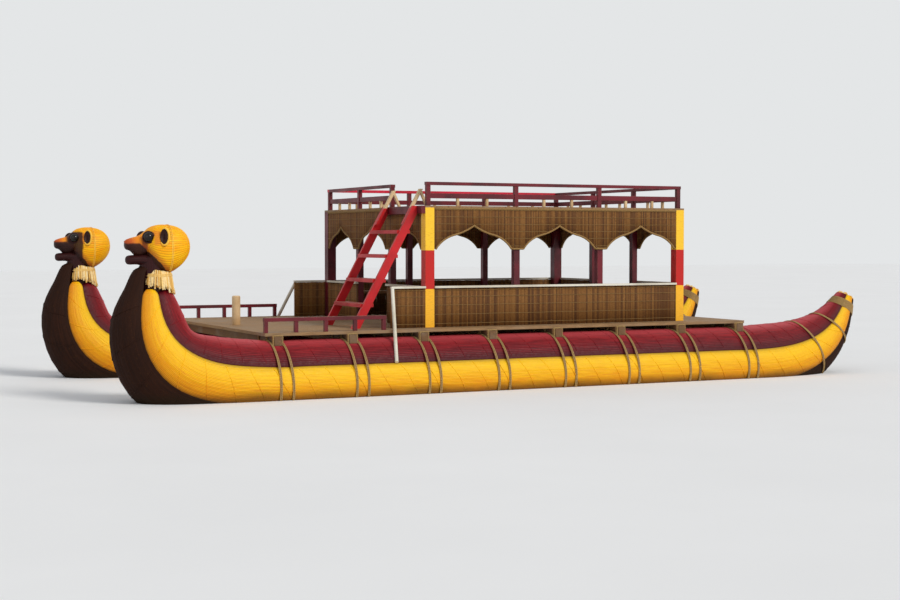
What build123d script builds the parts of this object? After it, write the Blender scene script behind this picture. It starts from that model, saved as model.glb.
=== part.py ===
"""Double-hulled reed boat with two carved puma prows and a raised viewing deck.

Millimetres. +X is the bow, +Y is port, +Z is up. The origin lies on the
waterline, on the centreline, amidships.
"""

from build123d import *
from math import cos, radians, sin, tan
import os

os.makedirs("parts", exist_ok=True)

# Hulls: each is four bound reed bundles round one curved spine
hull_spacing = 4200
hull_draught = 450
hull_depth = 1200
hull_width = 1200
neck_x = 5350
neck_top = 1450
neck_depth = 590
neck_width = 430
neck_lead = 120
lower_groove_angle = -22
groove_share = 0.93
bundle_seam = 0.6

# Timber deck between and over the hulls
beam_count = 8
beam_width = 110
beam_depth = 120
beam_length = 4700
beam_bed = 60
first_beam_x = -3600
last_beam_x = 3800
board_thickness = 40
board_width = 176
board_gap = 4
deck_front = 3950
deck_aft = -3750
deck_width = 4500

# Cabin level: posts, low mat walls and arched mat valances
cabin_front = 1400
cabin_length = 4200
cabin_width = 3680
bay_count = 3
corner_post = 140
mid_post = 90
mat_thickness = 25
low_wall_height = 550
cap_height = 30
cap_width = 50
wing_length = 530
valance_height = 580
arch_rise = 335
arch_margin = 50
clear_height = 1590

# Raised viewing deck and its low railing
frame_depth = 90
joist_width = 60
joist_count = 5
upper_board_thickness = 25
rail_post = 60
rail_height = 335
top_rail_depth = 45
top_rail_width = 70
mid_rail_depth = 70
mid_rail_width = 40
mid_rail_rise = 105
baluster = 36

# Stair up the front of the port bay
stair_width = 1060
stair_angle = 61.4
header_depth = 110
header_thickness = 60
stringer_depth = 115
stringer_thickness = 45
tread_count = 4
tread_depth = 200
tread_thickness = 50
grab_rail = 44
grab_rail_rise = 240
grab_rail_lap = 260
grab_brace_width = 36
grab_brace_set = 180
grab_brace_lean = 25

# Benches, foredeck rails, mooring post and boarding props
bench_height = 410
bench_depth = 400
bench_thickness = 40
bench_leg = 60
bench_leg_count = 5
foredeck_rail_height = 200
foredeck_rail_depth = 50
foredeck_rail_width = 60
foredeck_rail_length = 1750
foredeck_post = 50
foredeck_post_count = 5
mooring_post_diameter = 120
mooring_post_height = 420
mooring_post_x = 3600
mooring_post_chamfer = 12
prop_diameter = 50
prop_foot_out = 700
prop_foot_forward = 250
prop_drop = 960

# Puma heads, placed from the top of the neck
skull_width = 550
skull_height = 600
skull_back = 145
skull_lift = 491
throat_diameter = 330
throat_height = 260
throat_ahead = 60
eye_diameter = 140
eye_spacing = 300
eye_ahead = 140
eye_rise = 655
ear_height = 210
ear_width = 110
ear_rim = 16
ear_opening = 30
ear_ahead = -40
ear_rise = 665
ear_out = 275
collar_height = 190
collar_top_diameter = 310
collar_middle_diameter = 372
collar_bottom_diameter = 420
collar_wall = 18
collar_points = 16
collar_scallop = 26
fit_gap = 0.3

# Face sections: ahead of the neck, above its top, half height, half width
muzzle_sections = (
    (-60, 625, 160, 215),
    (100, 620, 148, 180),
    (250, 565, 115, 112),
    (410, 563, 58, 60),
)
jaw_sections = (
    (-60, 350, 120, 190),
    (100, 355, 80, 145),
    (250, 374, 48, 98),
    (395, 366, 44, 56),
)

# Chin sections: above the top of the neck, ahead of it, half length, half width
chin_sections = (
    (0, 205, 195, 170),
    (250, 155, 145, 110),
)

# Ogee arch from its spring to its point, as shares of its half width and of its rise
arch_marks = (
    (1.0, 0.0),
    (0.83, 0.33),
    (0.52, 0.60),
    (0.21, 0.79),
    (0.0, 1.0),
)

# Levels that follow from the sizes above
hull_centre_z = hull_depth / 2 - hull_draught
hull_y = hull_spacing / 2
seam_reach = hull_y + hull_width
seam_run_out = hull_depth / 3
beam_bottom = hull_centre_z + hull_depth / 2 - beam_bed
beam_top = beam_bottom + beam_depth
deck_top = beam_top + board_thickness
cabin_aft = cabin_front - cabin_length
cabin_y = cabin_width / 2
frame_bottom = deck_top + clear_height
frame_top = frame_bottom + frame_depth
upper_deck_top = frame_top + upper_board_thickness
mat_face = mid_post / 2 + mat_thickness
wall_top = deck_top + low_wall_height
valance_bottom = frame_top - valance_height

# Bow stations: x ahead of the neck, z above the spine, tilt, half depth, half width
# and the upper grooves' angle. Depth and width are shares of the midbody's.
bow_stations = (
    (-1900, 0, 0, 1.0, 1.0, 30),
    (-1500, 0, 0, 1.0, 1.0, 30),
    (-1100, 15, 6, 1.02, 1.0, 30),
    (-525, 107, 26, 1.035, 0.985, 30),
    (-135, 305, 50, 1.01, 0.925, 30),
    (75, 610, 72, 0.88, 0.77, 26),
    (125, 950, 87, 0.76, 0.57, 17),
)
neck_groove_angle = 17

# Stern stations: the same values, with x from amidships
stern_stations = (
    (-5830, 1030, -62, 0.25, 0.24, 30),
    (-5650, 730, -54, 0.44, 0.425, 30),
    (-5300, 390, -38, 0.70, 0.685, 30),
    (-4750, 130, -20, 0.91, 0.90, 30),
    (-4150, 15, -6, 1.01, 1.0, 30),
    (-3750, 0, 0, 1.0, 1.0, 30),
    (-3350, 0, 0, 1.0, 1.0, 30),
)


def hull_rows():
    """Stations from stern to neck: x, z, tilt, half depth, half width, upper groove angle."""
    rows = list(stern_stations)
    for ahead, *shape in bow_stations:
        rows.append((neck_x + ahead, *shape))
    sized = [
        (x, hull_centre_z + rise, tilt, hull_depth / 2 * depth, hull_width / 2 * width, groove)
        for x, rise, tilt, depth, width, groove in rows
    ]
    neck = (neck_x + neck_lead, neck_top, 90, neck_depth / 2, neck_width / 2, neck_groove_angle)
    return sized + [neck]


def lobe_point(angle, half_depth, half_width, share):
    """A point of the lobed section, in the section's own plane."""
    return (
        share * half_width * cos(radians(angle)),
        share * half_depth * sin(radians(angle)),
    )


def hull_section(half_depth, half_width, upper_groove_angle):
    """Four arcs that meet in grooves: top, far side, keel and near side."""
    crests = (90, (180 - upper_groove_angle + 180 - lower_groove_angle) / 2, 270,
              360 + (upper_groove_angle + lower_groove_angle) / 2)
    grooves = (upper_groove_angle, 180 - upper_groove_angle, 180 - lower_groove_angle,
               360 + lower_groove_angle, 360 + upper_groove_angle)
    for number, crest in enumerate(crests):
        ThreePointArc(
            lobe_point(grooves[number], half_depth, half_width, groove_share),
            lobe_point(crest, half_depth, half_width, 1),
            lobe_point(grooves[number + 1], half_depth, half_width, groove_share),
        )


def seam_points(upper, shift):
    """Where the upper or the lower grooves cross each station, in the XZ plane."""
    points = []
    for x, z, tilt, half_depth, half_width, upper_angle in hull_rows():
        groove_angle = upper_angle if upper else lower_groove_angle
        level = groove_share * half_depth * sin(radians(groove_angle)) + shift
        points.append((x - level * sin(radians(tilt)), z + level * cos(radians(tilt))))
    return points


def seam_region(upper, shift):
    """Everything above the upper or the lower grooves, as a face in the XZ plane."""
    points = seam_points(upper, shift)
    first = hull_rows()[0]
    stern_end = (
        points[0][0] - seam_run_out * cos(radians(first[2])),
        points[0][1] - seam_run_out * sin(radians(first[2])),
    )
    bow_end = (points[-1][0], points[-1][1] + seam_run_out)
    straight = len(stern_stations)
    with BuildSketch(Plane(origin=(0, seam_reach, 0), x_dir=(1, 0, 0), z_dir=(0, -1, 0))) as region:
        with BuildLine():
            Line(stern_end, points[0])
            for start in range(0, straight - 3, 2):
                ThreePointArc(*points[start:start + 3])
            Polyline(*points[straight - 3:straight + 3])
            for start in range(straight + 2, len(points) - 2, 2):
                ThreePointArc(*points[start:start + 3])
            Polyline(*points[-2:], bow_end, stern_end)
        make_face()
    return region.sketch


def spine_plane(station, y):
    """The plane of one section, looking along the spine towards the bow."""
    x, z, tilt = station[:3]
    along = (cos(radians(tilt)), 0, sin(radians(tilt)))
    return Plane(origin=(x, y, z), x_dir=(0, 1, 0), z_dir=along)


def beam_stations():
    """The middle of each cross beam along the boat."""
    step = (last_beam_x - first_beam_x) / (beam_count - 1)
    return [first_beam_x + step * number for number in range(beam_count)]


def save(piece, name):
    """Label a finished piece and write it to its own file."""
    piece.label = name
    export_step(piece, f"parts/{name}.step")


def box_between(low, high, mode=Mode.ADD):
    """A box from its lowest corner to its highest, inside the open part."""
    size = [top - bottom for bottom, top in zip(low, high)]
    middle = [(top + bottom) / 2 for bottom, top in zip(low, high)]
    with Locations(tuple(middle)):
        Box(*size, mode=mode)


def save_pair(piece, name):
    """Write a starboard piece, and its mirror image to port."""
    save(piece, f"starboard_{name}")
    save(mirror(piece, about=Plane.XZ), f"port_{name}")


def save_on_both_necks(piece, name):
    """Write a piece of the starboard head, and the same piece on the port neck."""
    save(piece, f"starboard_{name}")
    save(Pos(0, hull_spacing, 0) * piece, f"port_{name}")


# The seams between a hull's bundles follow the grooves from stern to neck
with BuildPart() as above_upper_seam:
    extrude(seam_region(True, bundle_seam / 2), 2 * seam_reach, dir=(0, -1, 0))
with BuildPart() as down_to_upper_seam:
    extrude(seam_region(True, -bundle_seam / 2), 2 * seam_reach, dir=(0, -1, 0))
with BuildPart() as above_lower_seam:
    extrude(seam_region(False, bundle_seam / 2), 2 * seam_reach, dir=(0, -1, 0))
with BuildPart() as down_to_lower_seam:
    extrude(seam_region(False, -bundle_seam / 2), 2 * seam_reach, dir=(0, -1, 0))

# Starboard hull: a straight midbody with a lofted stern and a lofted, rising prow
stations = hull_rows()
aft_end = len(stern_stations) - 1
with BuildPart() as hull:
    with BuildSketch(spine_plane(stations[aft_end], -hull_y)):
        with BuildLine():
            hull_section(*stations[aft_end][3:])
        make_face()
    extrude(amount=stations[aft_end + 1][0] - stations[aft_end][0])
    for run in (stations[:aft_end + 1], stations[aft_end + 1:]):
        for station in run:
            with BuildSketch(spine_plane(station, -hull_y)):
                with BuildLine():
                    hull_section(*station[3:])
                make_face()
        loft()

# Keel bundle: everything below the lower grooves
with BuildPart() as keel_bundle:
    add(hull.part)
    add(down_to_lower_seam.part, mode=Mode.SUBTRACT)
save_pair(keel_bundle.part, "keel_bundle")

# Side bundles: between the grooves, parted on the hull's middle plane
with BuildPart() as side_bundles:
    add(hull.part)
    add(above_lower_seam.part, mode=Mode.INTERSECT)
    add(down_to_upper_seam.part, mode=Mode.SUBTRACT)
hull_plane = Plane(origin=(0, -hull_y, 0), z_dir=(0, -1, 0))
with BuildPart() as outer_bundle:
    add(side_bundles.part)
    split(bisect_by=hull_plane, keep=Keep.TOP)
save_pair(outer_bundle.part, "outer_bundle")
with BuildPart() as inner_bundle:
    add(side_bundles.part)
    split(bisect_by=hull_plane, keep=Keep.BOTTOM)
save_pair(inner_bundle.part, "inner_bundle")

# Top bundle: above the upper grooves, bedded for the cross beams
with BuildPart() as top_bundle:
    add(hull.part)
    add(above_upper_seam.part, mode=Mode.INTERSECT)
    for x in beam_stations():
        box_between(
            (x - beam_width / 2 - fit_gap, -hull_y - hull_width, beam_bottom),
            (x + beam_width / 2 + fit_gap, -hull_y + hull_width, beam_top),
            mode=Mode.SUBTRACT,
        )
save_pair(top_bundle.part, "top_bundle")



def chin(grow):
    """The end of the keel bundle, which stands before the collar up to the jaw."""
    with BuildPart() as form:
        for rise, ahead, half_length, half_width in chin_sections:
            middle = (neck_x + ahead, -hull_y, neck_top + rise)
            with BuildSketch(Plane(origin=middle, x_dir=(1, 0, 0), z_dir=(0, 0, 1))):
                Ellipse(half_length + grow, half_width + grow)
        loft()
    return form.part


# Collar: a trimmed ruff of reed ends that stands on the neck, round its sides and back
collar_top = neck_top + collar_height
head_axis = Plane(origin=(neck_x, -hull_y, 0), x_dir=(1, 0, 0), z_dir=(0, -1, 0))
with BuildPart() as collar:
    with BuildSketch(head_axis):
        with BuildLine():
            Polyline(
                (collar_top_diameter / 2, collar_top), (0, collar_top),
                (0, neck_top), (collar_bottom_diameter / 2, neck_top),
            )
            ThreePointArc(
                (collar_bottom_diameter / 2, neck_top),
                (collar_middle_diameter / 2, (neck_top + collar_top) / 2),
                (collar_top_diameter / 2, collar_top),
            )
        make_face()
    revolve(axis=Axis((neck_x, -hull_y, 0), (0, 0, 1)))
    # The ruff's lower edge is cut to points
    with Locations((neck_x, -hull_y, neck_top)):
        with PolarLocations(collar_bottom_diameter / 2, collar_points):
            Cylinder(
                collar_scallop, 2 * collar_wall, rotation=(0, 90, 0), mode=Mode.SUBTRACT
            )
    add(chin(fit_gap), mode=Mode.SUBTRACT)
save_on_both_necks(collar.part, "collar")

# Skull: a bound ball of reeds, a little taller than it is wide
skull_x = neck_x - skull_back
skull_z = neck_top + skull_lift


def skull_ball(grow):
    """The skull, grown by a clearance, as a solid of revolution."""
    with BuildPart() as ball:
        with BuildSketch(Plane(origin=(skull_x, -hull_y, skull_z), x_dir=(1, 0, 0), z_dir=(0, -1, 0))):
            Ellipse(skull_width / 2 + grow, skull_height / 2 + grow)
            with Locations((-skull_width, 0)):
                Rectangle(2 * skull_width, 2 * skull_height, mode=Mode.SUBTRACT)
        revolve(axis=Axis((skull_x, -hull_y, 0), (0, 0, 1)))
    return ball.part


save_on_both_necks(skull_ball(0), "skull")
skull_clearance = skull_ball(fit_gap)


def face_loft(sections, grow=0):
    """A loft through upright ovals, each given by its row of face section sizes."""
    with BuildPart() as form:
        for ahead, rise, half_height, half_width in sections:
            middle = (neck_x + ahead, -hull_y, neck_top + rise)
            with BuildSketch(Plane(origin=middle, x_dir=(0, 1, 0), z_dir=(1, 0, 0))):
                Ellipse(half_width + grow, half_height + grow)
        loft()
    return form.part


# Muzzle: the brow and the upper jaw, seated on the front of the skull
with BuildPart() as muzzle:
    add(face_loft(muzzle_sections))
    add(skull_clearance, mode=Mode.SUBTRACT)
save_on_both_necks(muzzle.part, "muzzle")

# Lower jaw with the throat that stands on the collar, and the chin before it
with BuildPart() as jaw:
    add(chin(0))
    with Locations((neck_x + throat_ahead, -hull_y, collar_top)):
        Cylinder(throat_diameter / 2, throat_height, align=(Align.CENTER, Align.CENTER, Align.MIN))
    add(face_loft(jaw_sections))
    add(skull_clearance, mode=Mode.SUBTRACT)
save_on_both_necks(jaw.part, "jaw")

# Eyes: two balls bedded where the muzzle meets the skull
with BuildPart() as eyes:
    for across in (-eye_spacing / 2, eye_spacing / 2):
        with Locations((neck_x + eye_ahead, -hull_y + across, neck_top + eye_rise)):
            Sphere(eye_diameter / 2)
    add(skull_clearance, mode=Mode.SUBTRACT)
    add(face_loft(muzzle_sections, fit_gap), mode=Mode.SUBTRACT)
save_on_both_necks(eyes.part, "eyes")

# Ears: upright crescents, open to the front, one on each side of the skull
ear_middle = (neck_x + ear_ahead, neck_top + ear_rise)
with BuildPart() as ears:
    with BuildSketch(Plane(origin=(0, -hull_y + ear_out, 0), x_dir=(1, 0, 0), z_dir=(0, -1, 0))):
        with Locations(ear_middle):
            Ellipse(ear_width / 2, ear_height / 2)
        with Locations((ear_middle[0] + ear_opening, ear_middle[1])):
            Ellipse(ear_width / 2 - ear_rim, ear_height / 2 - ear_rim, mode=Mode.SUBTRACT)
    extrude(amount=2 * ear_out)
    add(skull_clearance, mode=Mode.SUBTRACT)
    add(face_loft(muzzle_sections, fit_gap), mode=Mode.SUBTRACT)
save_on_both_necks(ears.part, "ears")

# Cross beams: timbers bedded in both hulls' top bundles
with BuildPart() as cross_beams:
    for x in beam_stations():
        box_between(
            (x - beam_width / 2, -beam_length / 2, beam_bottom),
            (x + beam_width / 2, beam_length / 2, beam_top),
        )
save(cross_beams.part, "cross_beams")

# Posts: the bays are equal, and corner posts are stouter
bay_width = cabin_width / bay_count
bay_length = cabin_length / bay_count
post_rows_y = [-cabin_y + bay_width * number for number in range(bay_count + 1)]
post_rows_x = [cabin_front - bay_length * number for number in range(bay_count + 1)]
mid_places = [(x, y) for x in (cabin_front, cabin_aft) for y in post_rows_y[1:-1]]
mid_places += [(x, y) for x in post_rows_x[1:-1] for y in (-cabin_y, cabin_y)]


def post_at(place, width, low, high):
    """An upright square post, centred on its place."""
    x, y = place
    box_between((x - width / 2, y - width / 2, low), (x + width / 2, y + width / 2, high))


with BuildPart() as cabin_posts:
    for place in mid_places:
        post_at(place, mid_post, deck_top, frame_bottom)
    for x in (cabin_front, cabin_aft):
        post_at((x, -cabin_y), corner_post, deck_top, frame_top)
save(cabin_posts.part, "cabin_posts")

for end, x in (("front", cabin_front), ("aft", cabin_aft)):
    with BuildPart() as banded_post:
        post_at((x, cabin_y), corner_post, deck_top, frame_top)
    save(banded_post.part, f"{end}_banded_post")

# Frame under the viewing deck: edge beams, then joists between them with short spacers
inner_x = cabin_length / 2 - corner_post / 2
inner_y = cabin_y - corner_post / 2
cabin_middle = (cabin_front + cabin_aft) / 2
joist_pitch = cabin_length / (joist_count + 1)
joist_places = [cabin_aft + joist_pitch * number for number in range(1, joist_count + 1)]
joist_end = cabin_y - mid_post / 2 - fit_gap
spacer_stops = [cabin_aft + mid_post / 2]
for x in joist_places:
    spacer_stops += [x - joist_width / 2, x + joist_width / 2]
spacer_stops.append(cabin_front - mid_post / 2)
with BuildPart() as upper_deck_frame:
    for x in (cabin_front, cabin_aft):
        box_between((x - mid_post / 2, -inner_y, frame_bottom), (x + mid_post / 2, inner_y, frame_top))
    for y in (-cabin_y, cabin_y):
        box_between(
            (cabin_middle - inner_x, y - mid_post / 2, frame_bottom),
            (cabin_middle + inner_x, y + mid_post / 2, frame_top),
        )
    for x in joist_places:
        box_between(
            (x - joist_width / 2, -joist_end, frame_bottom),
            (x + joist_width / 2, joist_end, frame_top),
        )
    for y in post_rows_y[1:-1]:
        for low_x, high_x in zip(spacer_stops[::2], spacer_stops[1::2]):
            box_between(
                (low_x + fit_gap, y - joist_width / 2, frame_bottom),
                (high_x - fit_gap, y + joist_width / 2, frame_top),
            )
save(upper_deck_frame.part, "upper_deck_frame")

# Viewing deck boards, laid across the boat and flush with the mats below
upper_front = cabin_front + mat_face
upper_aft = cabin_aft - mat_face
upper_half = cabin_y + mat_face
upper_length = upper_front - upper_aft
upper_count = int(upper_length / (board_width + board_gap))
upper_pitch = (upper_length + board_gap) / upper_count
with BuildPart() as upper_deck_boards:
    for number in range(upper_count):
        low_x = upper_aft + number * upper_pitch
        box_between(
            (low_x, -upper_half, frame_top),
            (low_x + upper_pitch - board_gap, upper_half, upper_deck_top),
        )
save(upper_deck_boards.part, "upper_deck_boards")


def arch_outline(middle, clear_width):
    """A pointed ogee arch that springs from the valance's lower edge."""
    half = clear_width / 2 - arch_margin
    for hand in (-1, 1):
        points = [
            (middle + hand * across * half, valance_bottom + rise * arch_rise)
            for across, rise in arch_marks
        ]
        ThreePointArc(*points[:3])
        ThreePointArc(*points[2:])
    Line((middle - half, valance_bottom), (middle + half, valance_bottom))


def mat_with_arches(plane, middles, half_span, bay):
    """A mat valance with one arch for each bay, as a solid on the given plane."""
    with BuildPart() as mat:
        with BuildSketch(plane):
            with BuildLine():
                Polyline(
                    (-half_span + middles[1], valance_bottom), (half_span + middles[1], valance_bottom),
                    (half_span + middles[1], frame_top), (-half_span + middles[1], frame_top),
                    close=True,
                )
            make_face()
            for middle in middles:
                with BuildLine(mode=Mode.PRIVATE) as arch:
                    arch_outline(middle, bay - mid_post)
                make_face(arch.edges(), mode=Mode.SUBTRACT)
        extrude(amount=mat_thickness)
    return mat.part


front_plane = Plane(origin=(cabin_front + mid_post / 2, 0, 0), x_dir=(0, 1, 0), z_dir=(1, 0, 0))
aft_plane = Plane(origin=(cabin_aft - mid_post / 2, 0, 0), x_dir=(0, -1, 0), z_dir=(-1, 0, 0))
side_plane = Plane(origin=(0, -cabin_y - mid_post / 2, 0), x_dir=(1, 0, 0), z_dir=(0, -1, 0))
bay_middles_y = [-bay_width, 0, bay_width]
bay_middles_x = [cabin_middle - bay_length, cabin_middle, cabin_middle + bay_length]
save(mat_with_arches(front_plane, bay_middles_y, inner_y, bay_width), "front_valance")
save(mat_with_arches(aft_plane, bay_middles_y, inner_y, bay_width), "aft_valance")
save_pair(mat_with_arches(side_plane, bay_middles_x, inner_x, bay_length), "valance")

# Low mat walls: both sides with a wing forward, and both ends beside a doorway
door_half = bay_width / 2 - mid_post / 2
wall_in = cabin_y + mid_post / 2
wall_out = wall_in + mat_thickness
wing_front = cabin_front + corner_post / 2 + wing_length
side_walls = (
    (cabin_aft + corner_post / 2, cabin_front - corner_post / 2),
    (cabin_front + corner_post / 2, wing_front),
)
with BuildPart() as side_low_wall:
    for low_x, high_x in side_walls:
        box_between((low_x, -wall_out, deck_top), (high_x, -wall_in, wall_top))
save_pair(side_low_wall.part, "low_wall")
with BuildPart() as side_cap_rail:
    for low_x, high_x in side_walls:
        box_between((low_x, -wall_in - cap_width, wall_top), (high_x, -wall_in, wall_top + cap_height))
save_pair(side_cap_rail.part, "cap_rail")

for end, x, outward in (("front", cabin_front, 1), ("aft", cabin_aft, -1)):
    near = x + outward * mid_post / 2
    with BuildPart() as end_low_wall:
        for hand in (-1, 1):
            low_y, high_y = sorted((hand * door_half, hand * inner_y))
            low_x, high_x = sorted((near, near + outward * mat_thickness))
            box_between((low_x, low_y, deck_top), (high_x, high_y, wall_top))
    save(end_low_wall.part, f"{end}_low_wall")
    with BuildPart() as end_cap_rail:
        for hand in (-1, 1):
            low_y, high_y = sorted((hand * door_half, hand * inner_y))
            low_x, high_x = sorted((near, near + outward * cap_width))
            box_between((low_x, low_y, wall_top), (high_x, high_y, wall_top + cap_height))
    save(end_cap_rail.part, f"{end}_cap_rail")

# Boarding props: pale poles from each wing's rail down to the hull's flank
prop_top = Vector(wing_front - prop_diameter / 2, -wall_out, wall_top)
prop_foot = prop_top + Vector(prop_foot_forward, -prop_foot_out, -prop_drop)


def prop_pole(diameter):
    """A straight pole down the line of the starboard prop."""
    with BuildPart() as pole:
        with BuildSketch(Plane(origin=prop_top, z_dir=prop_foot - prop_top)):
            Circle(diameter / 2)
        extrude(amount=(prop_foot - prop_top).length)
    return pole.part


with BuildPart() as prop:
    add(prop_pole(prop_diameter))
    for piece in (side_low_wall, side_cap_rail, outer_bundle, top_bundle):
        add(piece.part, mode=Mode.SUBTRACT)
save_pair(prop.part, "prop")

# Deck boards: laid fore and aft across the beams, and notched where they would reach a prop
board_count = int(deck_width / (board_width + board_gap))
board_pitch = (deck_width + board_gap) / board_count
prop_notch = prop_pole(prop_diameter + 2 * board_gap)
with BuildPart() as deck_boards:
    for number in range(board_count):
        low_y = -deck_width / 2 + number * board_pitch
        box_between(
            (deck_aft, low_y, beam_top),
            (deck_front, low_y + board_pitch - board_gap, deck_top),
        )
    add(prop_notch, mode=Mode.SUBTRACT)
    add(mirror(prop_notch, about=Plane.XZ), mode=Mode.SUBTRACT)
save(deck_boards.part, "deck_boards")

# Railing of the viewing deck, with the port bay of the front left open for the stair
rail_top = upper_deck_top + rail_height
rail_under = rail_top - top_rail_depth
rail_places = [(cabin_front, y) for y in post_rows_y] + [(cabin_aft, y) for y in post_rows_y]
rail_places += [(x, y) for x in post_rows_x[1:-1] for y in (-cabin_y, cabin_y)]
with BuildPart() as rail_posts:
    for place in rail_places:
        post_at(place, rail_post, upper_deck_top, rail_under)
save(rail_posts.part, "rail_posts")

rail_half = top_rail_width / 2
stair_gap_y = post_rows_y[-2]
with BuildPart() as top_rail:
    box_between(
        (cabin_aft - rail_half, cabin_y - rail_half, rail_under),
        (cabin_front + rail_half, cabin_y + rail_half, rail_top),
    )
    box_between(
        (cabin_aft - rail_half, -cabin_y + rail_half, rail_under),
        (cabin_aft + rail_half, cabin_y - rail_half, rail_top),
    )
    box_between(
        (cabin_front - rail_half, -cabin_y + rail_half, rail_under),
        (cabin_front + rail_half, stair_gap_y + rail_half, rail_top),
    )
save(top_rail.part, "top_rail")
with BuildPart() as starboard_top_rail:
    box_between(
        (cabin_aft - rail_half, -cabin_y - rail_half, rail_under),
        (cabin_front + rail_half, -cabin_y + rail_half, rail_top),
    )
save(starboard_top_rail.part, "starboard_top_rail")

mid_low = upper_deck_top + mid_rail_rise
mid_high = mid_low + mid_rail_depth
half_rail_post = rail_post / 2
with BuildPart() as mid_rails:
    for low_y, high_y in zip(post_rows_y, post_rows_y[1:]):
        for x in (cabin_front, cabin_aft):
            if x == cabin_front and low_y == stair_gap_y:
                continue
            box_between(
                (x - mid_rail_width / 2, low_y + half_rail_post, mid_low),
                (x + mid_rail_width / 2, high_y - half_rail_post, mid_high),
            )
    for high_x, low_x in zip(post_rows_x, post_rows_x[1:]):
        for y in (-cabin_y, cabin_y):
            box_between(
                (low_x + half_rail_post, y - mid_rail_width / 2, mid_low),
                (high_x - half_rail_post, y + mid_rail_width / 2, mid_high),
            )
save(mid_rails.part, "mid_rails")

with BuildPart() as balusters:
    for low_y, high_y in zip(post_rows_y, post_rows_y[1:]):
        for x in (cabin_front, cabin_aft):
            if x == cabin_front and low_y == stair_gap_y:
                continue
            for share in (1 / 3, 2 / 3):
                post_at((x, low_y + share * (high_y - low_y)), baluster, upper_deck_top, mid_low)
    for high_x, low_x in zip(post_rows_x, post_rows_x[1:]):
        for y in (-cabin_y, cabin_y):
            for share in (1 / 3, 2 / 3):
                post_at((low_x + share * (high_x - low_x), y), baluster, upper_deck_top, mid_low)
save(balusters.part, "balusters")

# Stair: two stringers against a header on the front edge of the viewing deck
stair_y = (post_rows_y[-1] + post_rows_y[-2]) / 2
header_front = upper_front + header_thickness
with BuildPart() as stair_header:
    box_between(
        (upper_front, stair_gap_y - mid_post / 2, upper_deck_top - header_depth),
        (header_front, cabin_y + corner_post / 2, upper_deck_top),
    )
save(stair_header.part, "stair_header")

stair_slope = tan(radians(stair_angle))
stringer_run = stringer_depth / sin(radians(stair_angle))
stair_rise = upper_deck_top - deck_top
top_aft = header_front - stringer_run / 2
top_front = header_front + stringer_run / 2
toe_aft = top_aft + stair_rise / stair_slope
toe_front = top_front + stair_rise / stair_slope
heel_z = upper_deck_top - (header_front - top_aft) * stair_slope
stair_sides = (stair_y - stair_width / 2, stair_y + stair_width / 2)
with BuildPart() as stair_stringers:
    for y in (stair_sides[0], stair_sides[1] - stringer_thickness):
        with BuildSketch(Plane(origin=(0, y, 0), x_dir=(-1, 0, 0), z_dir=(0, 1, 0))):
            with BuildLine():
                Polyline(
                    (-toe_aft, deck_top), (-toe_front, deck_top), (-top_front, upper_deck_top),
                    (-header_front, upper_deck_top), (-header_front, heel_z),
                    close=True,
                )
            make_face()
        extrude(amount=stringer_thickness)
save(stair_stringers.part, "stair_stringers")

with BuildPart() as stair_treads:
    for number in range(1, tread_count + 1):
        rise = stair_rise * number / (tread_count + 1)
        x = (toe_aft + toe_front) / 2 - rise / stair_slope
        z = deck_top + rise
        box_between(
            (x - tread_depth / 2, stair_sides[0] + stringer_thickness, z - tread_thickness),
            (x + tread_depth / 2, stair_sides[1] - stringer_thickness, z),
        )
save(stair_treads.part, "stair_treads")

# Grab rails: pale poles lapped on the stringers' inner faces, each braced from the deck
rail_low_z = upper_deck_top - grab_rail_lap
rail_high_z = upper_deck_top + grab_rail_rise
rail_run = grab_rail / sin(radians(stair_angle))
rail_aft_x = top_front - rail_run
brace_lean = tan(radians(grab_brace_lean))
brace_feet = (rail_aft_x - grab_brace_set - grab_brace_width, rail_aft_x - grab_brace_set)


def rail_edge(front_x, z):
    """A point on a sloping edge that passes front_x at deck level, for a sketch with +X aft."""
    return (-front_x + (z - upper_deck_top) / stair_slope, z)


with BuildPart() as grab_rails:
    for y in (stair_sides[0] + stringer_thickness, stair_sides[1] - stringer_thickness - grab_rail):
        with BuildSketch(Plane(origin=(0, y, 0), x_dir=(-1, 0, 0), z_dir=(0, 1, 0))):
            with BuildLine():
                Polyline(
                    rail_edge(top_front, rail_low_z), rail_edge(rail_aft_x, rail_low_z),
                    rail_edge(rail_aft_x, rail_high_z), rail_edge(top_front, rail_high_z),
                    close=True,
                )
            make_face()
            brace = [(-foot, upper_deck_top) for foot in brace_feet]
            for foot in reversed(brace_feet):
                reach = (rail_aft_x - foot) / (1 / stair_slope + brace_lean)
                brace.append(rail_edge(rail_aft_x, upper_deck_top + reach))
            with BuildLine():
                Polyline(*brace, close=True)
            make_face()
        extrude(amount=grab_rail)
save(grab_rails.part, "grab_rails")

# Benches along both sides of the cabin
bench_back = cabin_y - mid_post / 2
bench_half = inner_x - corner_post / 2
seat_bottom = deck_top + bench_height - bench_thickness
with BuildPart() as bench:
    box_between(
        (cabin_middle - bench_half, -bench_back, seat_bottom),
        (cabin_middle + bench_half, -bench_back + bench_depth, deck_top + bench_height),
    )
    leg_pitch = (2 * bench_half - bench_leg) / (bench_leg_count - 1)
    for number in range(bench_leg_count):
        low_x = cabin_middle - bench_half + number * leg_pitch
        box_between(
            (low_x, -bench_back + bench_leg, deck_top),
            (low_x + bench_leg, -bench_back + bench_depth - bench_leg, seat_bottom - fit_gap),
        )
save_pair(bench.part, "bench")

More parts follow.
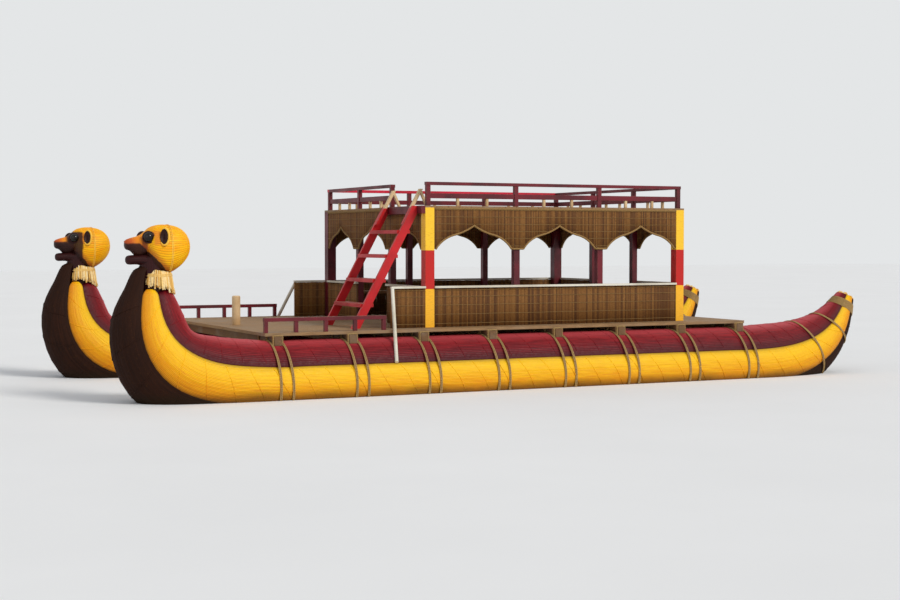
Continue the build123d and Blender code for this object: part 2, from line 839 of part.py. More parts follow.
# Foredeck rails: one low rail on short posts along each deck edge
rail_line = deck_width / 2 - foredeck_rail_width
rail_start = deck_front - foredeck_rail_length
foredeck_rail_under = deck_top + foredeck_rail_height - foredeck_rail_depth
with BuildPart() as foredeck_rail:
    box_between(
        (rail_start, -rail_line - foredeck_rail_width / 2, foredeck_rail_under),
        (deck_front, -rail_line + foredeck_rail_width / 2, foredeck_rail_under + foredeck_rail_depth),
    )
    for number in range(foredeck_post_count):
        x = rail_start + foredeck_rail_width / 2
        x += number * (foredeck_rail_length - foredeck_rail_width) / (foredeck_post_count - 1)
        post_at((x, -rail_line), foredeck_post, deck_top, foredeck_rail_under)
save_pair(foredeck_rail.part, "foredeck_rail")

# Mooring post on the foredeck
with BuildPart() as mooring_post:
    with Locations((mooring_post_x, 0, deck_top)):
        Cylinder(
            mooring_post_diameter / 2, mooring_post_height,
            align=(Align.CENTER, Align.CENTER, Align.MIN),
        )
    chamfer(mooring_post.faces().sort_by(Axis.Z)[-1].edges(), mooring_post_chamfer)
save(mooring_post.part, "mooring_post")
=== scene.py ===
"""The finish of the double-hulled reed boat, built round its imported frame.

Metres, in the frame's own axes: +X is the bow, +Y is port, +Z is up, and z = 0 is the water.
"""

import math

import bpy
import numpy as np
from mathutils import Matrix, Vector


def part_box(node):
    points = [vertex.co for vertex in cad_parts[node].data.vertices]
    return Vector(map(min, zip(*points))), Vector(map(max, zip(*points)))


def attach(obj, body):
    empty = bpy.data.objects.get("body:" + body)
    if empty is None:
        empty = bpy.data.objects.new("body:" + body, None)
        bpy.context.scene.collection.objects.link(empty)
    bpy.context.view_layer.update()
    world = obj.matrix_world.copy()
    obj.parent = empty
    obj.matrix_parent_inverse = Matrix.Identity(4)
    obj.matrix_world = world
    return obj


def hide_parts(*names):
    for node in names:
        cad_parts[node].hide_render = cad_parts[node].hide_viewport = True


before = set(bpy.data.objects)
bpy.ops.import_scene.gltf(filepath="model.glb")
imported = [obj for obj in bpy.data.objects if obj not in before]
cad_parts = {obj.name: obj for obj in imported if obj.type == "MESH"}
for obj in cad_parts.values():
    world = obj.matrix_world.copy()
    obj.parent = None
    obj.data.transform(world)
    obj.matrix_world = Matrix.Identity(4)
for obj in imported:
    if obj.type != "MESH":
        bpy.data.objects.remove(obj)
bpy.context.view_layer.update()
rng = np.random.default_rng(7)

# Hull sizes, as the solids have them
HULL_Y = 2.1
HULL_CENTRE_Z = 0.15
HALF_DEPTH = 0.6
HALF_WIDTH = 0.6
NECK_X = 5.35
NECK_TOP = 1.45
NECK_ROW = (0.12, NECK_TOP - HULL_CENTRE_Z, 90, 0.295 / HALF_DEPTH, 0.215 / HALF_WIDTH, 17)
LOWER_GROOVE = -22
GROOVE_SHARE = 0.93

# Stations: x, z above the spine, tilt, depth share, width share, upper grooves' angle
STERN_STATIONS = (
    (-5.83, 1.03, -62, 0.25, 0.24, 30),
    (-5.65, 0.73, -54, 0.44, 0.425, 30),
    (-5.3, 0.39, -38, 0.7, 0.685, 30),
    (-4.75, 0.13, -20, 0.91, 0.9, 30),
    (-4.15, 0.015, -6, 1.01, 1.0, 30),
    (-3.75, 0.0, 0, 1.0, 1.0, 30),
    (-3.35, 0.0, 0, 1.0, 1.0, 30),
)
BOW_STATIONS = (
    (-1.9, 0.0, 0, 1.0, 1.0, 30),
    (-1.5, 0.0, 0, 1.0, 1.0, 30),
    (-1.1, 0.015, 6, 1.02, 1.0, 30),
    (-0.525, 0.107, 26, 1.035, 0.985, 30),
    (-0.135, 0.305, 50, 1.01, 0.925, 30),
    (0.075, 0.61, 72, 0.88, 0.77, 26),
    (0.125, 0.95, 87, 0.76, 0.57, 17),
    NECK_ROW,
)
# The keel bundle runs on above the neck: x ahead of it, height, half depth, half width
CHIN_ROWS = (
    (0.12, 1.51, 0.268, 0.198), (0.12, 1.57, 0.242, 0.182), (0.118, 1.62, 0.221, 0.17),
    (0.112, 1.66, 0.203, 0.16), (0.1, 1.69, 0.193, 0.154), (0.085, 1.708, 0.18, 0.15),
    (0.066, 1.722, 0.166, 0.146), (0.055, 1.75, 0.156, 0.144),
)

# The line where a head's dark lower face begins, by two points: distance ahead of the neck and height
DARK_LINE = ((0.206, 1.995), (-0.05, 1.725))

# Reeds and ropes
STRANDS = {"keel": 60, "outer": 30, "inner": 30, "top": 44}
COLUMNS_PER_STRAND = 3
# How far the dirt and painted shade of each bundle's grooves reach across it, as a share of its arc
GROOVE_DIRT_AND_SHADE = {"keel": 0.08, "outer": 0.2, "inner": 0.2, "top": 0.26}
STRAND_RELIEF = 0.0045
HULL_RINGS = 110
LASHING_PINCH, LASHING_REACH = 0.007, 0.05
END_ROUNDING = 0.09
ROPE_RADIUS, ROPE_PITCH, ROPE_CLEARANCE = 0.008, 0.018, 0.001
WHIPPING_START, WHIPPING_TURNS = 0.1, 8
STERN_BINDINGS = (0.62, 1.22)
BESIDE_BEAM = 0.085
CORD_PITCH, CORD_SLANT, CORD_RADIUS = 0.36, 0.3, 0.005
BEAM_X = [-3.6 + 7.4 / 7 * number for number in range(8)]

SIDES = (("port", 1), ("starboard", -1))
AXIS_X, AXIS_Y, AXIS_Z = np.eye(3)


# Materials


def linear(colour):
    """A colour in 0 to 255 screen values, as linear light with full alpha."""
    shares = [value / 255 for value in colour]
    return (*(s / 12.92 if s <= 0.04045 else ((s + 0.055) / 1.055) ** 2.4 for s in shares), 1.0)


class Nodes:
    """The node tree of a material or world, with short calls. Colours are screen values."""

    def __init__(self, owner, shader="Principled BSDF"):
        owner.use_nodes = True
        self.tree = owner.node_tree
        self.shader = self.tree.nodes[shader]

    def feed(self, sockets, values):
        """Sets sockets to numbers or colours, or links them to others; None leaves one as it is."""
        for key, value in values.items():
            if isinstance(value, bpy.types.NodeSocket):
                self.tree.links.new(value, sockets[key])
            elif value is not None:
                sockets[key].default_value = linear(value) if sockets[key].type == "RGBA" else value

    def node(self, kind, output, inputs, **settings):
        """Adds a node, feeds its inputs and gives one of its outputs."""
        node = self.tree.nodes.new(kind)
        for key, value in settings.items():
            setattr(node, key, value)
        self.feed(node.inputs, inputs)
        return node.outputs[output]

    def attribute(self, name):
        return self.node("ShaderNodeAttribute", "Fac", {}, attribute_name=name)

    def place(self):
        return self.node("ShaderNodeTexCoord", "Object", {})

    def part(self, source, axis):
        return self.node("ShaderNodeSeparateXYZ", axis, {0: source})

    def vector(self, x, y, z=0.0):
        return self.node("ShaderNodeCombineXYZ", 0, {0: x, 1: y, 2: z})

    def math(self, operation, first, second=0.0):
        return self.node("ShaderNodeMath", 0, {0: first, 1: second}, operation=operation)

    def plus(self, first, second):
        return self.math("ADD", first, second)

    def minus(self, first, second):
        return self.math("SUBTRACT", first, second)

    def times(self, first, second):
        return self.math("MULTIPLY", first, second)

    def stretched(self, source, scale):
        return self.node("ShaderNodeMapping", 0, {"Vector": source, "Scale": scale})

    def on_reed(self, along_scale, strand_scale):
        """A place on each reed's own pattern, from its length and its strand's value."""
        along, strand = self.attribute("along"), self.attribute("strand")
        return self.vector(self.times(along, along_scale), self.times(strand, strand_scale))

    def noise(self, source, scale, detail=3.0, roughness=0.55):
        values = {"Vector": source, "Scale": scale, "Detail": detail, "Roughness": roughness}
        return self.node("ShaderNodeTexNoise", "Fac", values)

    def wobble(self, source, scale, reach):
        """Noise spread evenly about zero."""
        return self.times(self.minus(self.noise(source, scale), 0.5), reach)

    def ramp(self, source, *stops):
        colour = self.node("ShaderNodeValToRGB", "Color", {"Fac": source})
        elements = colour.node.color_ramp.elements
        while len(elements) < len(stops):
            elements.new(0.5)
        for element, (position, tint) in zip(elements, stops):
            element.position, element.color = position, linear(tint)
        return colour

    def span(self, source, low, high, to_low=0.0, to_high=1.0):
        """Eases from one value at low to the other at high."""
        values = {"Value": source, "From Min": low, "From Max": high, "To Min": to_low, "To Max": to_high}
        return self.node("ShaderNodeMapRange", "Result", values, interpolation_type="SMOOTHSTEP")

    def mix(self, factor, first, second):
        return self.node("ShaderNodeMix", 2, {0: factor, 6: first, 7: second}, data_type="RGBA")

    def coats(self, colour, *layers):
        """Lays tints over a colour. A layer is a tint, its share and the masks that weaken it."""
        for tint, share, *masks in layers:
            for mask in masks:
                share = self.times(mask, share)
            colour = self.mix(share, colour, tint)
        return colour

    def bump(self, height, distance, strength, normal=None):
        values = {"Height": height, "Distance": distance, "Strength": strength, "Normal": normal}
        return self.node("ShaderNodeBump", 0, values)

    def edges(self, radius):
        """How much a surface turns within a radius, from 0 on flats to 1 on edges, and the rounded normal."""
        rounded = self.node("ShaderNodeBevel", 0, {"Radius": radius}, samples=4)
        true = self.node("ShaderNodeNewGeometry", "True Normal", {})
        turned = self.node("ShaderNodeVectorMath", "Value", {0: rounded, 1: true}, operation="DOT_PRODUCT")
        return self.span(turned, 0.98, 0.8), rounded

    def finish(self, colour, roughness, normal=None, specular=0.4):
        self.feed(self.shader.inputs, {
            "Base Color": colour, "Roughness": roughness, "Specular IOR Level": specular, "Normal": normal})


finishes = {}


def material_nodes(name):
    finishes[name] = bpy.data.materials.new(name)
    return Nodes(finishes[name])


FACE_DARK, STRAW, BARE_WOOD, POLE = (40, 12, 9), (214, 178, 108), (178, 138, 96), (222, 192, 148)


def head_place(n, scale, reach):
    """Distance ahead of the neck, height, both again with an uneven edge, and that unevenness."""
    place = n.place()
    ahead, height = n.minus(n.part(place, "X"), NECK_X), n.part(place, "Z")
    wobble = n.wobble(place, scale, reach)
    return ahead, height, n.plus(ahead, wobble), n.plus(height, n.times(wobble, 0.5)), wobble


def face_paint_and_shade(n, colour):
    """Colours on a head: red-orange paint on the snout and a dark lower face with a reddish edge, with
    painted shade in brown on the underside and dark under the brow.
    """
    ahead, height, snout, lifted, wobble = head_place(n, 11.0, 0.05)
    (fore, high), (back, low) = DARK_LINE
    line = n.minus(ahead, n.times(n.minus(height, low), (fore - back) / (high - low)))
    past_line = n.plus(n.minus(line, back), wobble)

    def near(source, middle, outer, inner):
        return n.span(n.math("ABSOLUTE", n.minus(source, middle)), outer, inner)

    return n.coats(
        colour,
        # The snout and its tip, the cheek, and painted shade on the underside
        ((236, 112, 34), 0.55, n.span(snout, 0.12, 0.24)),
        ((184, 66, 40), 0.8, n.span(snout, 0.26, 0.38)),
        ((168, 70, 30), 0.62, n.span(past_line, -0.1, -0.01), n.span(lifted, 2.1, 1.98)),
        ((140, 56, 14), 0.55, n.span(lifted, 1.79, 1.69)),
        # The brow, a painted shadow under the brow down the front of the eye, and the lower face
        ((214, 96, 44), 0.55, near(snout, 0.04, 0.06, 0.03), near(lifted, 2.1, 0.11, 0.06)),
        ((104, 26, 14), 0.8, near(ahead, 0.185, 0.05, 0.02), n.span(lifted, 2.115, 2.085)),
        (FACE_DARK, 0.97, n.span(past_line, -0.008, 0.012), n.span(lifted, 2.045, 2.015)),
    )


def dark_eyed_face(n, colour):
    """The starboard head's colours: the port head's, and dark round the eyes as well, with the snout's top
    left bare.
    """
    _, _, ahead, lifted, _ = head_place(n, 9.0, 0.06)
    bare = n.times(n.span(ahead, 0.22, 0.27), n.span(lifted, 2.035, 2.06))
    face = n.span(ahead, 0.015, 0.045), n.span(lifted, 2.215, 2.185), n.minus(1.0, bare)
    return n.coats(face_paint_and_shade(n, colour), (FACE_DARK, 0.95, *face))


def reed_finish(
        name, light, dark, straw=STRAW, wear=0.35, rough=0.5, wet=True, face_colours=None, specular=0.35,
        crease_dirt_and_shade=(40, 20, 8), shade_and_sheen=None):
    """Bound reeds with paint on them: streaks along each reed, dirt and painted shade between reeds and
    towards the grooves, worn ridges.
    """
    n = material_nodes(name)
    ridge = n.attribute("ridge")
    streak = n.noise(n.on_reed(2.2, 53.0), 1.6, 4.0)
    fine = n.noise(n.on_reed(9.0, 173.0), 3.0, 3.0, 0.7)
    patch = n.noise(n.place(), 1.3)
    colour = n.coats(
        n.ramp(streak, (0.25, dark), (0.62, light)),
        (dark, 0.35, n.span(patch, 0.35, 0.75)),
        (straw, wear, n.span(fine, 0.56, 0.74), n.span(ridge, 0.55, 1.0)))
    # Painted light across a bundle: painted shade where it faces down towards a groove, and a painted sheen
    # where it faces up
    if shade_and_sheen:
        shaded, painted_sheen = shade_and_sheen
        facing = n.attribute("facing")
        colour = n.coats(
            colour, (shaded, 0.6, n.span(facing, 0.15, -0.85)), (painted_sheen, 0.8, n.span(facing, -0.2, 0.7)))
    # Face colours: the heads' paint and their painted shade
    if face_colours:
        colour = face_colours(n, colour)
    # Darker between reeds and near the grooves: dirt and painted shade
    colour = n.coats(colour, (crease_dirt_and_shade, 0.62, n.span(ridge, 0.42, 0.0)))
    if wet:
        soaked = n.plus(n.part(n.place(), "Z"), n.times(patch, 0.16))
        colour = n.coats(colour, ((38, 26, 12), 0.72, n.span(soaked, 0.24, 0.08)))
    normal = n.bump(n.plus(fine, n.times(streak, 0.5)), 0.0018, 0.7)
    n.finish(colour, n.span(fine, 0.3, 0.8, rough - 0.1, rough + 0.14), normal, specular)


def straw_finish(name, light, dark, tip):
    """Dry unpainted reeds, each of its own tone from dark to tip."""
    n = material_nodes(name)
    fibre = n.noise(n.on_reed(14.0, 97.0), 4.0, 4.0, 0.7)
    colour = n.coats(
        n.ramp(n.attribute("strand"), (0.0, dark), (0.45, light), (1.0, tip)),
        (dark, 0.55, n.span(fibre, 0.45, 0.75)),
        (dark, 0.4, n.span(n.noise(n.place(), 3.0), 0.5, 0.8)))
    n.finish(colour, n.span(fibre, 0.2, 0.8, 0.62, 0.86), n.bump(fibre, 0.0012, 0.8))


def rope_finish(name, light, dark):
    """Twisted grass rope: slanted strands from its own length and turn."""
    n = material_nodes(name)
    slant = n.plus(n.times(n.attribute("along"), 42.0), n.times(n.attribute("turn"), 3.0))
    twist = n.math("ABSOLUTE", n.minus(n.math("FRACT", slant), 0.5))
    colour = n.coats(
        n.mix(n.span(twist, 0.0, 0.3), dark, light), (dark, 0.5, n.span(n.noise(n.place(), 160.0), 0.5, 0.8)))
    n.finish(colour, 0.85, n.bump(twist, 0.004, 0.8))


def paint_finish(name, colour, shade, wood=BARE_WOOD, wear=0.8, dust=0.25):
    """Oil paint brushed on timber: brush streaks, faded patches, worn edges and dust."""
    n = material_nodes(name)
    place = n.place()
    brush = n.noise(n.stretched(place, (1.5, 1.5, 14.0)), 12.0, 5.0, 0.65)
    patch, chip = n.noise(place, 2.3, 4.0), n.noise(place, 46.0, 4.0, 0.7)
    edge, rounded = n.edges(0.006)
    up = n.part(n.node("ShaderNodeNewGeometry", "Normal", {}), "Z")
    colour = n.coats(
        colour,
        (shade, 1.0, n.span(patch, 0.35, 0.7)),
        (shade, 0.35, n.span(brush, 0.45, 0.72)),
        (wood, wear, edge, n.span(chip, 0.42, 0.6)),
        (wood, 0.7, n.span(chip, 0.66, 0.72), n.span(patch, 0.5, 0.65)),
        ((176, 156, 128), dust, n.span(up, 0.5, 1.0)))
    n.finish(colour, n.span(patch, 0.2, 0.8, 0.34, 0.58), n.bump(brush, 0.0012, 0.6, rounded))


def banded_finish(name, lowest, bands, wood=BARE_WOOD, shade=0.3):
    """Paint in level bands up a post: the lowest colour, then where each next one begins."""
    n = material_nodes(name)
    place = n.place()
    level = n.plus(n.part(place, "Z"), n.wobble(place, 14.0, 0.012))
    colour = lowest
    for height, upper in bands:
        colour = n.mix(n.math("GREATER_THAN", level, height), colour, upper)
    brush = n.noise(n.stretched(place, (2.0, 2.0, 12.0)), 10.0, 5.0, 0.65)
    edge, rounded = n.edges(0.007)
    colour = n.coats(
        colour,
        ((120, 60, 10), shade, n.span(brush, 0.45, 0.75)),
        (wood, 1.0, edge, n.span(n.noise(place, 40.0, 4.0, 0.7), 0.45, 0.6)))
    n.finish(colour, n.span(brush, 0.2, 0.8, 0.34, 0.55), n.bump(brush, 0.0012, 0.6, rounded))


def board_finish(name, light, dark, across, first, pitch, grain):
    """Weathered boards, counted from the first one's edge: each has its own tone, with long grain."""
    n = material_nodes(name)
    place = n.place()
    lane = n.math("FLOOR", n.math("DIVIDE", n.minus(n.part(place, across), first), pitch))
    tone = n.node("ShaderNodeTexWhiteNoise", "Value", {"W": lane}, noise_dimensions="1D")
    parts = {0: n.stretched(place, grain), 1: n.vector(tone, tone, tone)}
    fibre = n.noise(n.node("ShaderNodeVectorMath", 0, parts, operation="ADD"), 9.0, 8.0, 0.7)
    edge, rounded = n.edges(0.004)
    colour = n.coats(
        n.ramp(fibre, (0.3, dark), (0.68, light)),
        (n.mix(0.35, dark, light), 0.55, tone),
        ((140, 128, 112), 0.45, n.span(n.noise(place, 1.8, 4.0), 0.45, 0.75)),
        (dark, 0.5, edge))
    n.finish(colour, n.span(fibre, 0.2, 0.8, 0.6, 0.85), n.bump(fibre, 0.002, 0.7, rounded))


def cloudy_finish(name, scale, first, second, smoothest, roughest, specular):
    """A plain surface that drifts between two near tones."""
    n = material_nodes(name)
    cloud = n.noise(n.place(), scale)
    colour = n.ramp(cloud, (0.3, first), (0.7, second))
    n.finish(colour, n.span(cloud, 0.2, 0.8, smoothest, roughest), specular=specular)


# The yellow and maroon bundles carry painted shade below and a painted sheen on top
reed_finish(
    "yellow_reeds", (255, 196, 6), (236, 146, 0), specular=0.22, shade_and_sheen=((214, 118, 0), (255, 204, 12)))
reed_finish(
    "maroon_reeds", (152, 30, 36), (88, 10, 18), (190, 112, 92), wear=0.28, specular=0.16, crease_dirt_and_shade=(34, 0, 8),
    shade_and_sheen=((84, 4, 20), (196, 78, 84)))
# The keel bundle's near-black brown is partly its own dark paint and partly painted shade
reed_finish("dark_reeds", (50, 24, 12), (25, 11, 6), (108, 74, 38), wear=0.38, rough=0.7, specular=0.12)
for side, face_colours in (("port", face_paint_and_shade), ("starboard", dark_eyed_face)):
    reed_finish(
        f"{side}_head_reeds", (255, 194, 8), (248, 148, 0), wear=0.2, wet=False, face_colours=face_colours,
        specular=0.22)
reed_finish("binding_reeds", (255, 214, 84), (244, 168, 30), wear=0.2, wet=False)
reed_finish("mouth_dark", (56, 14, 14), (28, 6, 8), (96, 44, 32), wear=0.12, wet=False, specular=0.2)
cloudy_finish("eye_gloss", 18.0, (10, 7, 6), (30, 20, 14), 0.04, 0.08, 0.3)
straw_finish("collar_straw", (242, 202, 116), (208, 150, 60), (252, 232, 182))
# The mats' brown is their straw's own colour, darkened part way as painted shade
straw_finish("mat_straw", (120, 77, 30), (86, 51, 19), (140, 96, 42))
rope_finish("lashing_rope", (190, 158, 102), (112, 80, 42))
rope_finish("mat_cord", (160, 126, 74), (96, 66, 32))
# Red paint darkened to maroon: painted shade on the timbers that stood in shade
paint_finish("maroon_paint", (112, 20, 34), (70, 8, 20))
paint_finish("red_paint", (206, 22, 30), (166, 14, 22), wear=0.9)
# Red paint made brighter: painted sunlight on the starboard top rail
paint_finish("sunlit_red_paint", (216, 26, 62), (180, 16, 44))
paint_finish("white_paint", (226, 222, 208), (196, 188, 168), wear=0.9, dust=0.1)
paint_finish("pole_wood", POLE, (186, 150, 104), (140, 104, 66), dust=0.05)
board_finish("beam_wood", (136, 100, 62), (72, 48, 28), "X", -3.8, 0.4, (6.0, 1.0, 6.0))
board_finish("deck_wood", (176, 140, 96), (108, 78, 48), "Y", -2.252, 0.18016, (0.6, 9.0, 9.0))
board_finish("upper_wood", (170, 132, 90), (104, 74, 46), "X", -2.872, 0.181, (9.0, 0.6, 9.0))
board_finish("bench_wood", (160, 112, 66), (96, 62, 34), "Y", 0.0, 0.1, (0.8, 10.0, 10.0))
banded_finish("banded_paint", (252, 186, 36), ((1.39, (196, 20, 18)), (1.93, (255, 202, 44))))
banded_finish("grab_paint", (190, 20, 26), ((2.535, POLE),), (150, 114, 74), shade=0.2)


# Mesh building


def full_turn(count):
    return np.linspace(0, 2 * math.pi, count, endpoint=False)


def carried_sides(ahead):
    """A side direction at every point of a path, carried along it without twisting."""
    side = np.cross(ahead[0], AXIS_Z if abs(ahead[0, 2]) < 0.9 else AXIS_X)
    sides = []
    for direction in ahead:
        side = side - direction * side.dot(direction)
        side /= np.linalg.norm(side)
        sides.append(side)
    return np.array(sides)


def put(name, data, place=(0, 0, 0), target=None):
    """Adds an object to the scene at a place, aimed at a target if there is one."""
    thing = bpy.data.objects.new(name, data)
    thing.location = place
    if target:
        thing.rotation_euler = (Vector(target) - Vector(place)).to_track_quat("-Z", "Y").to_euler()
    bpy.context.scene.collection.objects.link(thing)
    return thing


class Form:
    """Vertices, faces and per-vertex values gathered into one mesh."""

    def __init__(self):
        self.points, self.faces, self.count = [], [], 0
        self.values = {key: [] for key in ("along", "strand", "ridge", "turn", "facing")}

    def rings(self, rings, caps=True, **values):
        """A skin over closed rings of equal size, with one value for all, for each ring or round them."""
        rings = np.asarray(rings, float)
        count, size = rings.shape[:2]
        index = self.count + np.arange(count * size).reshape(count, size)
        after = np.roll(index, -1, axis=1)
        self.faces += np.stack((index[:-1], after[:-1], after[1:], index[1:]), 2).reshape(-1, 4).tolist()
        if caps:
            self.faces += [index[0, ::-1].tolist(), index[-1].tolist()]
        self.points.append(rings.reshape(-1, 3))
        for key, store in self.values.items():
            store.append(np.broadcast_to(values.get(key, 0.0), (count, size)).reshape(-1))
        self.count += count * size

    def tube(self, path, radius, sides=8, closed=False, strand=0.5, ridge=1.0, facing=0.0):
        """A round tube along a path, with its own length and turn as values."""
        path = np.asarray(path, float)
        ahead = np.roll(path, -1, 0) - np.roll(path, 1, 0)
        if not closed:
            ahead[0], ahead[-1] = path[1] - path[0], path[-1] - path[-2]
        ahead /= np.linalg.norm(ahead, axis=1)[:, None]
        length = np.insert(np.cumsum(np.linalg.norm(np.diff(path, axis=0), axis=1)), 0, 0)
        side = carried_sides(ahead)
        up = np.cross(ahead, side)
        reach = np.broadcast_to(radius, (len(path),))[:, None, None]
        turn = full_turn(sides)[:, None]
        rings = path[:, None] + reach * np.cos(turn) * side[:, None] + reach * np.sin(turn) * up[:, None]
        if closed:
            rings = np.concatenate((rings, rings[:1]))
            length = np.append(length, length[-1] + np.linalg.norm(path[0] - path[-1]))
        self.rings(
            rings, not closed, along=length[:, None], turn=-np.arange(sides) / sides, strand=strand,
            ridge=ridge, facing=np.reshape(facing, (-1, 1)))

    def build(self, name, material, slot, *nodes):
        """Makes the object, rides it on the hull body and hides the nodes it stands for."""
        mesh = bpy.data.meshes.new(name)
        mesh.from_pydata(np.concatenate(self.points).tolist(), [], self.faces)
        for key, store in self.values.items():
            layer = mesh.attributes.new(key, "FLOAT", "POINT")
            layer.data.foreach_set("value", np.concatenate(store).astype(np.float32))
        mesh.shade_smooth()
        mesh.materials.append(finishes[material])
        mesh.validate()
        piece = put(name, mesh)
        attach(piece, "root")
        if nodes:
            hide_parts(*nodes)


# Hull shape, in rows from stern to neck: x, z, tilt in radians, half depth, half width, groove angle

HULL_ROWS = np.array([
    (x, HULL_CENTRE_Z + rise, math.radians(tilt), HALF_DEPTH * depth, HALF_WIDTH * width, groove)
    for x, rise, tilt, depth, width, groove in (
        *STERN_STATIONS, *((NECK_X + ahead, *shape) for ahead, *shape in BOW_STATIONS))
])
# Each row's length run from the stern tip, and the row where the straight midbody starts
ROW_PLACES = np.insert(np.cumsum(np.hypot(*np.diff(HULL_ROWS[:, :2], axis=0).T)), 0, 0)
HULL_LENGTH = ROW_PLACES[-1]
MIDBODY = len(STERN_STATIONS) - 1


def smooth_curve(knots, values, places):
    """Natural cubic through values at knots, read at places."""
    gap = np.diff(knots)
    matrix, right = np.eye(len(knots)), np.zeros(values.shape)
    for row in range(1, len(knots) - 1):
        matrix[row, row - 1:row + 2] = gap[row - 1], 2 * (gap[row - 1] + gap[row]), gap[row]
    right[1:-1] = 6 * np.diff(np.diff(values, axis=0) / gap[:, None], axis=0)
    second = np.linalg.solve(matrix, right)
    index = np.clip(np.searchsorted(knots, places) - 1, 0, len(knots) - 2)
    low, high, span = np.stack((places - knots[index], knots[index + 1] - places, gap[index]))[:, :, None]
    return (
        second[index] * high ** 3 / (6 * span) + second[index + 1] * low ** 3 / (6 * span)
        + (values[index] / span - second[index] * span / 6) * high
        + (values[index + 1] / span - second[index + 1] * span / 6) * low
    )


def spine(places):
    """Sections of the hull at the given lengths along it, counted from the stern tip."""
    sections = np.tile(HULL_ROWS[MIDBODY], (len(places), 1))
    sections[:, 0] = HULL_ROWS[MIDBODY, 0] + places - ROW_PLACES[MIDBODY]
    bow = MIDBODY + 1
    aft, fore = places < ROW_PLACES[MIDBODY], places > ROW_PLACES[bow]
    sections[aft] = smooth_curve(ROW_PLACES[:bow], HULL_ROWS[:bow], places[aft])
    sections[fore] = smooth_curve(ROW_PLACES[bow:], HULL_ROWS[bow:], places[fore])
    return sections


def arc_through(first, middle, last, shares):
    """Points and outward normals on the circle through three points, at shares of its arc."""
    (ax, ay), (bx, by), (cx, cy) = first, middle, last
    turn = 2 * (ax * (by - cy) + bx * (cy - ay) + cx * (ay - by))
    a2, b2, c2 = ax * ax + ay * ay, bx * bx + by * by, cx * cx + cy * cy
    x = (a2 * (by - cy) + b2 * (cy - ay) + c2 * (ay - by)) / turn
    y = (a2 * (cx - bx) + b2 * (ax - cx) + c2 * (bx - ax)) / turn
    start, end = math.atan2(ay - y, ax - x), math.atan2(cy - y, cx - x)
    angles = start + (end - start) % math.copysign(2 * math.pi, turn) * shares
    normals = np.stack((np.cos(angles), np.sin(angles)), 1)
    return np.array((x, y)) + math.hypot(ax - x, ay - y) * normals, normals


def lobe(bundle, section, shares):
    """One bundle's outer arc in a section, from groove to groove: x outboard, y away from the keel."""
    half_depth, half_width, upper = section[3:]
    start, end = {
        "outer": (LOWER_GROOVE, upper), "top": (upper, 180 - upper),
        "inner": (180 - upper, 180 - LOWER_GROOVE), "keel": (180 - LOWER_GROOVE, 360 + LOWER_GROOVE),
    }[bundle]
    corners = []
    for angle, share in ((start, GROOVE_SHARE), ((start + end) / 2, 1), (end, GROOVE_SHARE)):
        a = math.radians(angle)
        corners.append((share * half_width * math.cos(a), share * half_depth * math.sin(a)))
    return arc_through(*corners, shares)


def sky_facing(bundle, shares):
    """How far places across a bundle face the sky, from -1 in its lower groove to 1 at its highest; it steers
    the painted shade and sheen.
    """
    return {
        "keel": 0 * shares, "outer": 2 * shares - 1, "inner": 1 - 2 * shares,
        "top": 1 - 4 * abs(shares - 0.5),
    }[bundle]


def in_space(section, flat_points, hand):
    """Section points, x outboard and y up its plane, placed in the boat."""
    x, z, tilt = section[:3]
    return np.stack((
        x - flat_points[:, 1] * math.sin(tilt),
        hand * (HULL_Y + flat_points[:, 0]),
        z + flat_points[:, 1] * math.cos(tilt),
    ), 1)


DENSE_PLACES = np.linspace(0.0, HULL_LENGTH, 1400)
DENSE_SECTIONS = spine(DENSE_PLACES)

# Lengths run from the stern tip to the ropes that bind the hull: near the stern and beside every beam
BEAM_PLACES = [ROW_PLACES[MIDBODY] + x - HULL_ROWS[MIDBODY, 0] for x in BEAM_X]
LASHINGS = np.array([
    *STERN_BINDINGS, *(place + step for place in BEAM_PLACES for step in (-BESIDE_BEAM, BESIDE_BEAM))])


def section_at(place):
    """The section nearest a length run from the stern tip."""
    return DENSE_SECTIONS[np.argmin(abs(DENSE_PLACES - place))]


def ring_places():
    """Where the hull's skin has rings: evenly, closer at the ropes and at the neck."""
    near_ropes = [place + step for place in LASHINGS for step in (-0.06, -0.03, 0.0, 0.03, 0.06)]
    near_neck = HULL_LENGTH - END_ROUNDING * np.array((1.0, 0.7, 0.45, 0.25, 0.12, 0.04))
    even = np.linspace(0.0, HULL_LENGTH, HULL_RINGS)
    return np.unique(np.round(np.concatenate((even, near_ropes, near_neck)), 4))


def strand_profile(shares, strands):
    """Each place's strand number, and its ridge: 0 in the groove between strands and 1 on a crest."""
    phase = (shares * strands) % 1.0
    return (shares * strands).astype(int), np.sqrt(np.clip(1 - (2 * phase - 1) ** 2, 0, 1))


